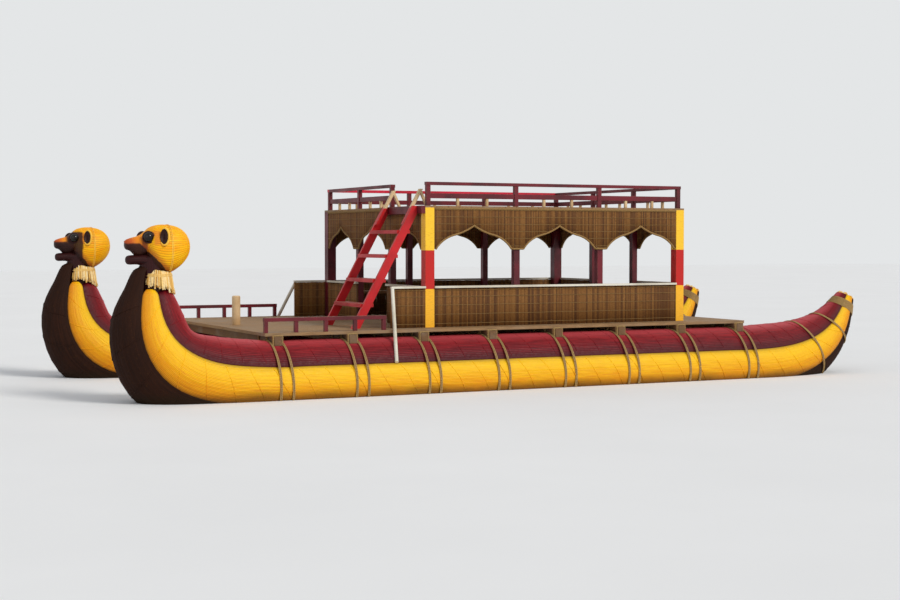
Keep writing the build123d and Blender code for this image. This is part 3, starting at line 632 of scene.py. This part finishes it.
def reed_bundle(side, hand, bundle, material, slot):
    """A hull bundle as long reeds side by side, pinched where the ropes bind it."""
    places = ring_places()
    sections = spine(places)
    if bundle == "keel":
        chin = [(NECK_X + ahead, height, math.pi / 2, depth, width, NECK_ROW[-1])
                for ahead, height, depth, width in CHIN_ROWS]
        sections = np.concatenate((sections, chin))
        places = np.concatenate((places, HULL_LENGTH + sections[-len(chin):, 1] - NECK_TOP))
    strands = STRANDS[bundle]
    shares = np.linspace(0, 1, strands * COLUMNS_PER_STRAND + 1)
    number, ridge = strand_profile(shares, strands)
    number = np.minimum(number, strands - 1)
    ridge[[0, -1]] = 0
    # Weaker ridges near the grooves, where the dirt and painted shade gather
    from_groove = np.minimum(1.0, np.minimum(shares, 1 - shares) / GROOVE_DIRT_AND_SHADE[bundle])
    tone = rng.random(strands)
    lift = rng.normal(0, 0.0016, strands)
    wave = rng.uniform(0.6, 1.6, strands)
    start = rng.uniform(0, 6.28, strands)
    rings = []
    for place, section in zip(places, sections):
        points, normals = lobe(bundle, section, shares)
        fineness = min(1.0, section[3] / HALF_DEPTH)
        drift = lift[number] + 0.0012 * np.sin(wave[number] * place + start[number])
        relief = STRAND_RELIEF * fineness * (ridge - 0.6) + drift * fineness
        relief -= LASHING_PINCH * np.exp(-((place - LASHINGS) / LASHING_REACH) ** 2).max()
        if bundle != "keel":
            past = np.clip(1 - (HULL_LENGTH - place) / END_ROUNDING, 0, 1)
            relief -= 0.55 * END_ROUNDING * (1 - math.sqrt(1 - past ** 2))
            crest = points[len(points) // 2]
            points = crest + (points - crest) * math.sqrt(1 - (0.72 * past) ** 2)
        points = points + normals * relief[:, None]
        behind = 0.9 * points[-1], 0.25 * (points[0] + points[-1]), 0.9 * points[0]
        rings.append(in_space(section, np.concatenate((points, behind)), hand)[::hand])

    def row(values):
        """Values across the arc, and none for the points behind it, in the order of a ring."""
        return np.concatenate((values, (0, 0, 0)))[::hand]

    form = Form()
    form.rings(
        rings, along=places[:, None], strand=row(tone[number]), ridge=row(ridge * from_groove),
        facing=row(sky_facing(bundle, shares)))
    form.build(f"{side}_{bundle}_reeds", material, slot, f"{side}_{bundle}_bundle")


def hull_contour(section, hand):
    """A closed loop round the whole hull, bridging the grooves as a tight rope does."""
    half_depth, half_width = section[3:5]
    shares = np.linspace(0, 1, 24, endpoint=False)
    flat = np.concatenate([lobe(bundle, section, shares)[0] for bundle in STRANDS])
    out, up = flat[:, 0] / half_width, flat[:, 1] / half_depth
    angle, reach = np.arctan2(up, out), np.hypot(out, up)
    order = np.argsort(angle)
    angles = np.linspace(-math.pi, math.pi, 72, endpoint=False)
    reaches = np.interp(angles, angle[order], reach[order], period=2 * math.pi)
    for blend in (np.max, np.mean):
        reaches = blend([np.roll(reaches, shift) for shift in range(-3, 4)], axis=0)
    loop = np.stack((np.cos(angles), np.sin(angles)), 1)
    loop *= reaches[:, None] * (half_width, half_depth) + ROPE_CLEARANCE
    return in_space(section, loop, hand)


def hull_lashings(side, hand):
    """Pairs of rope turns round the hull at every binding, and whipping at the stern."""
    form = Form()
    pairs = [place + step for place in LASHINGS for step in (-ROPE_PITCH / 2, ROPE_PITCH / 2)]
    for place in pairs + [WHIPPING_START + ROPE_PITCH * number for number in range(WHIPPING_TURNS)]:
        form.tube(hull_contour(section_at(place), hand), ROPE_RADIUS, 6, closed=True)
    form.build(f"{side}_hull_lashings", "lashing_rope", "collar_straw")


def bundle_cords(side, hand, bundle, material, slot):
    """The thin cord that winds round one bundle, painted with it."""
    form = Form()
    shares = np.linspace(0.0, 1.0, 22)
    for start in np.arange(0.32, HULL_LENGTH - 0.3, CORD_PITCH):
        path = []
        for share in shares:
            sway = 0.004 * math.sin(31 * start + 9 * share)
            section = section_at(start + CORD_SLANT * (share - 0.5) + sway)
            point, normal = lobe(bundle, section, np.array((share,)))
            lift = 0.0015 if 0.02 < share < 0.98 else -0.012
            path.append(in_space(section, point + normal * lift, hand)[0])
        form.tube(path, CORD_RADIUS, 5, strand=rng.random(), ridge=0.9, facing=sky_facing(bundle, shares))
    form.build(f"{side}_{bundle}_cords", material, slot)


for side, hand in SIDES:
    for bundle, material, slot in (
            ("keel", "dark_reeds", "hull_dark"), ("outer", "yellow_reeds", "hull_yellow"),
            ("inner", "yellow_reeds", "hull_yellow"), ("top", "maroon_reeds", "hull_maroon")):
        reed_bundle(side, hand, bundle, material, slot)
        bundle_cords(side, hand, bundle, material, slot)
    hull_lashings(side, hand)

CUT_REED_PITCH, CUT_REED_RADII = 0.021, (0.0105, 0.0105, 0.0085)


def stern_reed_ends(side, hand):
    """Cut reed ends that fill the stern tip, no two quite as long."""
    form = Form()
    section = DENSE_SECTIONS[0]
    back = np.array((-math.cos(section[2]), 0.0, -math.sin(section[2])))
    half_depth, half_width = section[3:5] - 0.012
    for row, up in enumerate(np.arange(-half_depth, half_depth, CUT_REED_PITCH * 0.87)):
        for out in np.arange(-half_width, half_width, CUT_REED_PITCH) + (row % 2) * CUT_REED_PITCH / 2:
            if (up / half_depth) ** 2 + (out / half_width) ** 2 > 1:
                continue
            foot = in_space(section, np.array(((out, up),)), hand)[0]
            reach = 0.006 + 0.03 * rng.random()
            path = (foot - back * 0.05, foot + back * reach * 0.6, foot + back * reach)
            form.tube(path, CUT_REED_RADII, 6, strand=rng.random())
    form.build(f"{side}_stern_reed_ends", "collar_straw", "collar_straw")


# Puma heads: rows of distance ahead of the neck, lowest z, highest z and half width

SKULL_ROWS = (
    (-0.424, 1.965, 2.005, 0.02), (-0.412, 1.9, 2.075, 0.1), (-0.375, 1.825, 2.155, 0.172),
    (-0.31, 1.75, 2.215, 0.225), (-0.23, 1.69, 2.25, 0.257), (-0.14, 1.648, 2.266, 0.273),
    (-0.05, 1.645, 2.268, 0.27), (0.03, 1.68, 2.255, 0.252), (0.09, 1.745, 2.228, 0.218),
    (0.13, 1.83, 2.185, 0.165), (0.15, 1.93, 2.1, 0.09), (0.155, 1.99, 2.03, 0.02),
)
MUZZLE_ROWS = (
    (-0.06, 1.93, 2.22, 0.17), (0.02, 1.915, 2.254, 0.212), (0.08, 1.905, 2.238, 0.198),
    (0.13, 1.9, 2.203, 0.172), (0.18, 1.875, 2.158, 0.148), (0.24, 1.868, 2.125, 0.125),
    (0.29, 1.884, 2.11, 0.11), (0.33, 1.925, 2.1, 0.1), (0.365, 1.944, 2.088, 0.088),
    (0.392, 1.953, 2.076, 0.072), (0.408, 1.972, 2.056, 0.048), (0.414, 2.0, 2.028, 0.014),
)
JAW_ROWS = (
    (-0.04, 1.7, 1.9, 0.15), (0.04, 1.705, 1.91, 0.168), (0.11, 1.718, 1.905, 0.148),
    (0.17, 1.738, 1.902, 0.125), (0.23, 1.757, 1.893, 0.104), (0.29, 1.762, 1.884, 0.092),
    (0.34, 1.76, 1.879, 0.08), (0.376, 1.766, 1.872, 0.063), (0.394, 1.781, 1.858, 0.042),
    (0.402, 1.808, 1.834, 0.012),
)
THROAT_AHEAD, THROAT_RADIUS, THROAT_Z = 0.055, 0.16, (1.37, 1.86)
EYE_AHEAD, EYE_OUT, EYE_Z, EYE_RADIUS, EYE_RIM_RADIUS = 0.14, 0.15, 2.105, 0.07, 0.012
EAR_AHEAD, EAR_OUT, EAR_Z, EAR_HALF_WIDTH, EAR_HALF_HEIGHT = -0.04, 0.245, 2.11, 0.055, 0.104
# An ear's rounds, as a share of its size and how far out
EAR_ROUNDS = (
    (0.92, -0.06), (1.0, -0.01), (1.03, 0.018), (0.93, 0.03), (0.82, 0.022), (0.5, 0.017), (0.05, 0.015))


def oval(centre, half_a, half_b, turn):
    """Points round an oval, from its centre, its two half axes and the angles."""
    return centre + np.cos(turn)[:, None] * half_a + np.sin(turn)[:, None] * half_b


def on_head(hand, ahead, across, height):
    """A place by its distance ahead of the neck, across from the head's middle, and height."""
    return np.array((NECK_X + ahead, hand * HULL_Y + across, height))


def face_frame(across, lift):
    """Directions at a place on a head's side: out of it, along it and up it."""
    outward = np.array((0.3, across * 0.94, lift))
    outward /= np.linalg.norm(outward)
    along = np.cross(outward, AXIS_Z)
    along /= np.linalg.norm(along)
    return outward, along, np.cross(along, outward)


def head_form(rows, count, strands, hand):
    """A bound form of upright rings through a head's rows."""
    rows = np.array(rows)
    knots = np.insert(np.cumsum(np.hypot(np.diff(rows[:, 0]), np.diff(rows[:, 2]) + 0.002)), 0, 0)
    places = np.linspace(0, knots[-1], count)
    turn = full_turn(4 * strands)
    number, ridge = strand_profile(turn / (2 * math.pi), strands)
    tone = rng.random(strands)[number % strands]
    rings = []
    for ahead, low, high, half in smooth_curve(knots, rows, places):
        relief = (0.0035 * min(1.0, half / 0.2) * (ridge - 0.6) + 0.0012 * (tone - 0.5))[:, None]
        centre = on_head(hand, ahead, 0, (low + high) / 2)
        rings.append(oval(centre, (half + relief) * AXIS_Y, ((high - low) / 2 + relief) * AXIS_Z, turn))
    form = Form()
    form.rings(rings, along=places[:, None], strand=tone, ridge=ridge)
    return form


def puma_eyes(side, hand):
    """Round glossy eyes, each in a bound rim."""
    balls, rims = Form(), Form()
    for across in (-1, 1):
        outward, along, up = face_frame(across, 0.14)
        centre, turn = on_head(hand, EYE_AHEAD, across * EYE_OUT, EYE_Z), full_turn(32)
        rings = []
        for lean in np.linspace(math.pi / 2 - 0.02, -math.pi / 2 + 0.02, 18):
            out, reach = EYE_RADIUS * math.sin(lean), EYE_RADIUS * math.cos(lean)
            rings.append(oval(centre + out * outward, reach * along, reach * up, turn))
        balls.rings(rings)
        loop = oval(centre + EYE_RIM_RADIUS * outward, EYE_RADIUS * along, EYE_RADIUS * up, turn)
        rims.tube(loop, EYE_RIM_RADIUS, closed=True, strand=0.3)
    balls.build(f"{side}_eye_balls", "eye_gloss", "eye", f"{side}_eyes")
    rims.build(f"{side}_eye_rims", "mouth_dark", "puma_dark")


def puma_ears(side, hand):
    """Flat round ears that lean off the skull, bound round the rim except in front."""
    ears, rims = Form(), Form()
    for across in (-1, 1):
        outward, along, up = face_frame(across, 0.16)
        centre, turn = on_head(hand, EAR_AHEAD, across * EAR_OUT, EAR_Z), full_turn(40)
        half_width, half_height = EAR_HALF_WIDTH * across * along, EAR_HALF_HEIGHT * up
        rings = []
        for reach, depth in EAR_ROUNDS:
            lean = (depth - 0.012 * (depth > 0) * np.cos(turn))[:, None]
            ring = oval(centre + outward * lean, reach * half_width, reach * half_height, turn)
            rings.append(ring[::-across])
        ears.rings(rings)
        turn = np.linspace(math.radians(64), math.radians(322), 40)
        middle = centre + outward * (0.024 - 0.014 * np.cos(turn))[:, None]
        thick = np.interp(turn, (1.1, 1.8, 4.6, 5.6), (0.006, 0.014, 0.014, 0.006))
        rims.tube(oval(middle, 1.03 * half_width, 1.03 * half_height, turn), thick, strand=0.7)
    # The ear dishes take the dark finish: painted shade in the ears' hollows
    ears.build(f"{side}_ear_reeds", "mouth_dark", "puma_dark", f"{side}_ears")
    rims.build(f"{side}_ear_rims", "binding_reeds", "puma_yellow")


def puma_head(side, hand):
    """The bound skull, muzzle and jaw with the throat, and the eyes and ears."""
    skull = head_form(SKULL_ROWS, 54, 60, hand)
    skull.build(f"{side}_skull_reeds", f"{side}_head_reeds", "puma_yellow", f"{side}_skull")

    muzzle = head_form(MUZZLE_ROWS, 40, 40, hand)
    for across in (-0.03, 0.03):
        centre = on_head(hand, 0.396, across, 2.052)
        nostril = oval(centre, 0.01 * AXIS_X, 0.014 * AXIS_Y + 0.008 * AXIS_Z, full_turn(14))
        muzzle.tube(nostril, 0.006, 6, closed=True)
    muzzle.build(f"{side}_muzzle_reeds", f"{side}_head_reeds", "puma_yellow", f"{side}_muzzle")

    jaw = head_form(JAW_ROWS, 34, 32, hand)
    # The throat goes with the jaw into the dark finish: painted shade behind the collar's reeds
    turn, heights = full_turn(128), np.linspace(*THROAT_Z, 12)
    number, ridge = strand_profile(turn / (2 * math.pi), 32)
    reach = (THROAT_RADIUS + 0.004 * (ridge - 0.6))[:, None]
    throat = [oval(on_head(hand, THROAT_AHEAD, 0, z), reach * AXIS_X, reach * AXIS_Y, turn) for z in heights]
    jaw.rings(throat, along=heights[:, None], strand=rng.random(32)[number % 32], ridge=ridge)
    jaw.build(f"{side}_jaw_reeds", "mouth_dark", "puma_dark", f"{side}_jaw")

    puma_eyes(side, hand)
    puma_ears(side, hand)

    binding = Form()
    ahead, low, high, half = SKULL_ROWS[5]
    for step in (-0.008, 0.008):
        centre = on_head(hand, ahead + step, 0, (low + high) / 2)
        loop = oval(centre, (half + 0.003) * AXIS_Y, ((high - low) / 2 + 0.003) * AXIS_Z, full_turn(60))
        binding.tube(loop, 0.005, 6, closed=True, ridge=0.8)
    binding.build(f"{side}_skull_binding", "binding_reeds", "puma_yellow")


COLLAR_Z = np.array((1.71, 1.66, 1.6, 1.53, 1.46, 1.4))
COLLAR_RADII = np.array((0.166, 0.178, 0.192, 0.203, 0.21, 0.22))
COLLAR_OPENING = math.radians(34)
# Each layer's reeds, how far inside the outer one and how much higher they end
COLLAR_LAYERS = ((60, 0.0, 0.0), (54, 0.019, 0.012))
COLLAR_TIES = ((1.64, 0.191), (1.627, 0.194), (1.614, 0.197))


def round_neck(hand, reach, turn, levels):
    """A path round a head's neck at these distances, angles and heights."""
    return np.stack((NECK_X + reach * np.cos(turn), hand * HULL_Y + reach * np.sin(turn), levels), 1)


def collar_ruff(side, hand):
    """Two layers of cut reeds round the sides and back of the neck, held by three turns of rope."""
    form, ties = Form(), Form()
    for layer, (count, inset, lift) in enumerate(COLLAR_LAYERS):
        for number in range(count):
            share = (number + 0.5 * layer + rng.uniform(-0.2, 0.2)) / count
            angle = COLLAR_OPENING + share * 2 * (math.pi - COLLAR_OPENING)
            behind = 0.5 - 0.5 * math.cos(angle)
            low = 1.492 - 0.11 * behind ** 2 + lift + rng.uniform(-0.03, 0.03)
            top = 1.706 - 0.05 * behind + rng.uniform(-0.006, 0.006)
            levels = np.linspace(top, low, 6)
            reach = np.interp(-levels, -COLLAR_Z, COLLAR_RADII) - inset + rng.uniform(-0.003, 0.003)
            reach[-1] += rng.uniform(-0.002, 0.012)
            sway = angle + np.linspace(0, rng.uniform(-0.05, 0.05), 6)
            thick = np.interp(levels, (1.4, 1.7), (0.0115, 0.0085))
            form.tube(round_neck(hand, reach, sway, levels), thick, 6, strand=rng.random())
    form.build(f"{side}_collar_reeds", "collar_straw", "collar_straw", f"{side}_collar")
    turn = np.linspace(COLLAR_OPENING, 2 * math.pi - COLLAR_OPENING, 54)
    for height, reach in COLLAR_TIES:
        ties.tube(round_neck(hand, reach, turn, height + 0.003 * np.sin(3 * turn)), 0.006, 6)
    ties.build(f"{side}_collar_ties", "collar_straw", "collar_straw")


for side, hand in SIDES:
    stern_reed_ends(side, hand)
    puma_head(side, hand)
    collar_ruff(side, hand)


# Reed mats: upright stalks sewn with level cords, their arches edged with a bound roll

STALK_PITCH, STALK_RADIUS = 0.0205, 0.0112
ARCH_LOW, ARCH_RISE, ARCH_TOP, ARCH_MARGIN = 1.95, 0.335, 2.53, 0.05
EDGING_RADIUS, TOP_ROLL_RADIUS, LEAST_EDGING = 0.0155, 0.0145, 0.03
CORD_INSET, SEWING_RADIUS = 0.01, 0.0036
VALANCE_CORD_Z = (2.5, 2.4, 2.3, 2.2, 2.1, 1.99)
WALL_LOW, WALL_TOP = 0.852, 1.4
WALL_CORD_Z = (0.9, 1.03, 1.16, 1.28, 1.37)


def arch_curve(half):
    """The ogee from its spring to its point, as distance from the middle and height."""
    marks = [(x * half, ARCH_LOW + z * ARCH_RISE)
             for x, z in ((1.0, 0.0), (0.83, 0.33), (0.52, 0.6), (0.21, 0.79), (0.0, 1.0))]
    lower, upper = (arc_through(*corners, np.linspace(0, 1, 14))[0] for corners in (marks[:3], marks[2:]))
    return np.concatenate((lower, upper[1:]))


class Mat:
    """One upright mat in a box of room: s runs along it and out is away from the cabin."""

    def __init__(self, low, high, outward):
        self.thin = 0 if high.x - low.x < high.y - low.y else 1
        self.plane, self.outward = (low[self.thin] + high[self.thin]) / 2, outward
        self.start, self.end = low[1 - self.thin], high[1 - self.thin]

    def point(self, s, height, out=0.0):
        level = self.plane + self.outward * out
        return (s, level, height) if self.thin else (level, s, height)

    def stalks(self, form, start, end, bottom, top):
        """Stalks side by side from start to end; bottom may vary along the mat."""
        count = round((end - start) / STALK_PITCH)
        for number in range(count):
            s = start + (number + 0.5) * (end - start) / count
            foot = bottom(s) + rng.uniform(-0.004, 0.004)
            crown = top + rng.uniform(-0.003, 0.0)
            drift = rng.normal(0, 0.0011, 3)
            levels = np.linspace(foot, crown, 3)
            path = [self.point(s + shift, level, shift) for shift, level in zip(drift, levels)]
            form.tube(path, STALK_RADIUS * rng.uniform(0.98, 1.1), 6, strand=rng.random())

    def cords(self, form, start, end, height, present):
        """A sewing cord on both faces at one height, wherever the mat is present."""
        start, end = start + CORD_INSET, end - CORD_INSET
        for face in (-1, 1):
            run = []
            for number, s in enumerate(np.append(np.arange(start, end, STALK_PITCH), end + 1)):
                if s <= end and present(s):
                    out = face * (STALK_RADIUS + (0.0025 if number % 2 else 0.0005))
                    run.append(self.point(s, height + 0.0015 * math.sin(7.0 * s), out))
                    continue
                if len(run) > 3:
                    form.tube(run, SEWING_RADIUS, 5)
                run = []


def valance(name, mat, middles, half):
    """A hung mat with an ogee arch over every bay."""
    curve = arch_curve(half)

    def bottom(s):
        for middle in middles:
            if abs(s - middle) < half:
                return float(np.interp(abs(s - middle), curve[::-1, 0], curve[::-1, 1]))
        return ARCH_LOW

    stalks, cords, edge = Form(), Form(), Form()
    mat.stalks(stalks, mat.start, mat.end, bottom, ARCH_TOP)
    stalks.build(f"{name}_stalks", "mat_straw", "reed_mat", name)
    for height in VALANCE_CORD_Z:
        mat.cords(cords, mat.start, mat.end, height, lambda s: bottom(s) < height - 0.02)
    cords.build(f"{name}_cords", "mat_cord", "reed_mat")
    for middle in middles:
        outline = [(middle - s, z) for s, z in curve] + [(middle + s, z) for s, z in curve[::-1][1:]]
        edge.tube([mat.point(s, z - 0.004) for s, z in outline], EDGING_RADIUS, strand=0.4)
    stops = [mat.start] + [middle + step for middle in middles for step in (-half, half)] + [mat.end]
    for start, end in zip(stops[::2], stops[1::2]):
        if end - start > LEAST_EDGING:
            edge.tube([mat.point(s, ARCH_LOW) for s in np.linspace(start, end, 6)], EDGING_RADIUS, strand=0.4)
    top = [mat.point(s, ARCH_TOP - 0.012, 0.004) for s in np.linspace(mat.start, mat.end, 40)]
    edge.tube(top, TOP_ROLL_RADIUS, strand=0.4)
    edge.build(f"{name}_edging", "mat_cord", "reed_mat")


def low_wall(name, mat, gap):
    """Standing mats below the windows, on both sides of a gap."""
    stalks, cords = Form(), Form()
    for start, end in ((mat.start, gap[0]), (gap[1], mat.end)):
        mat.stalks(stalks, start, end, lambda s: WALL_LOW, WALL_TOP)
        for height in WALL_CORD_Z:
            mat.cords(cords, start, end, height, lambda s: True)
    stalks.build(f"{name}_stalks", "mat_straw", "reed_mat", name)
    cords.build(f"{name}_cords", "mat_cord", "reed_mat")


# Bays of the cabin's ends and sides: pitch, middles and the gap in the low wall
END_BAYS = (1.22667, (-1.22667, 0.0, 1.22667), (-0.5683, 0.5683))
SIDE_BAYS = (1.4, (-2.1, -0.7, 0.7), (1.33, 1.47))
POST_WIDTH = 0.09
for name, outward, (pitch, middles, gap) in (
        ("front", 1, END_BAYS), ("aft", -1, END_BAYS), ("port", 1, SIDE_BAYS), ("starboard", -1, SIDE_BAYS)):
    low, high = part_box(f"{name}_valance")
    valance(f"{name}_valance", Mat(low, high, outward), middles, (pitch - POST_WIDTH) / 2 - ARCH_MARGIN)
    low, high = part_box(f"{name}_low_wall")
    low_wall(f"{name}_low_wall", Mat(low, high, outward), gap)


# Rope that binds each cross beam down to the hulls' top bundles

LASHED_AT = (HULL_Y - 0.36, HULL_Y - 0.04, HULL_Y + 0.215)
BEAM_HALF_WIDTH, BEAM_HALF_DEPTH, BEAM_Z, BEAM_CORNER = 0.055, 0.068, 0.742, 0.012

flat_x, flat_z = (half + ROPE_RADIUS - BEAM_CORNER for half in (BEAM_HALF_WIDTH, BEAM_HALF_DEPTH))
loop = []
for quarter, (sign_x, sign_z) in enumerate(((1, 1), (-1, 1), (-1, -1), (1, -1))):
    for angle in math.pi / 2 * (quarter + np.arange(6) / 5):
        out, up = BEAM_CORNER * math.cos(angle), BEAM_CORNER * math.sin(angle)
        loop.append((sign_x * flat_x + out, 0, sign_z * flat_z + up))
for side, hand in SIDES:
    form = Form()
    for x in BEAM_X:
        for middle in LASHED_AT:
            for step in (-ROPE_PITCH, 0.0, ROPE_PITCH):
                form.tube(np.array((x, hand * (middle + step), BEAM_Z)) + loop, ROPE_RADIUS, 6, closed=True)
    form.build(f"{side}_beam_lashings", "lashing_rope", "collar_straw")


# Timbers keep their solids and take these finishes

for material, *nodes in (
        ("beam_wood", "cross_beams"),
        ("deck_wood", "deck_boards"),
        ("upper_wood", "upper_deck_boards"),
        ("bench_wood", "port_bench", "starboard_bench"),
        # Painted shade: the posts, rails and header in red darkened to maroon
        ("maroon_paint", "cabin_posts", "upper_deck_frame", "rail_posts", "top_rail", "mid_rails",
         "port_foredeck_rail", "starboard_foredeck_rail", "stair_header"),
        ("banded_paint", "front_banded_post", "aft_banded_post"),
        # Painted sunlight: the starboard top rail in a brighter red
        ("sunlit_red_paint", "starboard_top_rail"),
        ("red_paint", "stair_stringers", "stair_treads"),
        ("white_paint", "port_cap_rail", "starboard_cap_rail", "front_cap_rail", "aft_cap_rail",
         "port_prop", "starboard_prop"),
        ("pole_wood", "balusters", "mooring_post"),
        ("grab_paint", "grab_rails")):
    for node in nodes:
        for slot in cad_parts[node].material_slots:
            slot.material = finishes[material]


# Stage, light and camera

mesh = bpy.data.meshes.new("stage_floor")
mesh.from_pydata([(-90, -90, 0), (90, -90, 0), (90, 90, 0), (-90, 90, 0)], [], [(0, 1, 2, 3)])
cloudy_finish("stage_pale", 0.35, (238, 239, 240), (241, 242, 243), 0.9, 0.9, 0.1)
mesh.materials.append(finishes["stage_pale"])
floor = put("stage_floor", mesh)

# Soft light from all round, seen by the camera as a plain pale backdrop
bpy.context.scene.world = bpy.data.worlds.new("studio")
n = Nodes(bpy.context.scene.world, "Background")
n.shader.inputs["Color"].default_value = (0.93, 0.96, 1.0, 1.0)
n.shader.inputs["Strength"].default_value = 0.5
backdrop = n.node("ShaderNodeBackground", 0, {"Color": (228, 230, 231), "Strength": 1.0})
rays = (n.node("ShaderNodeLightPath", f"Is {kind} Ray", {}) for kind in ("Camera", "Glossy"))
seen = n.math("MAXIMUM", *rays)
light = n.node("ShaderNodeMixShader", 0, {0: seen, 1: n.shader.outputs[0], 2: backdrop})
n.feed(n.tree.nodes["World Output"].inputs, {"Surface": light})

# Suns as wide as a studio's soft boxes, shining on the middle of the boat
for name, place, strength, spread, colour in (
        ("key", (-9.0, 17.0, 15.0), 1.9, 0.36, (1.0, 0.96, 0.9)),
        ("fill", (16.0, 10.0, 7.0), 0.28, 0.9, (0.95, 0.97, 1.0))):
    lamp = bpy.data.lights.new(name, "SUN")
    lamp.energy, lamp.angle, lamp.color = strength, spread, colour
    put(name, lamp, place, (0, 0, 0))

lens = bpy.data.cameras.new("camera")
lens.sensor_width, lens.lens, lens.clip_end = 36.0, 62.0, 400.0
bpy.context.scene.camera = put("camera", lens, (10.7, 21.5, 2.05), (0.15, 0.0, 1.15))
bpy.context.scene.view_settings.view_transform = "Standard"
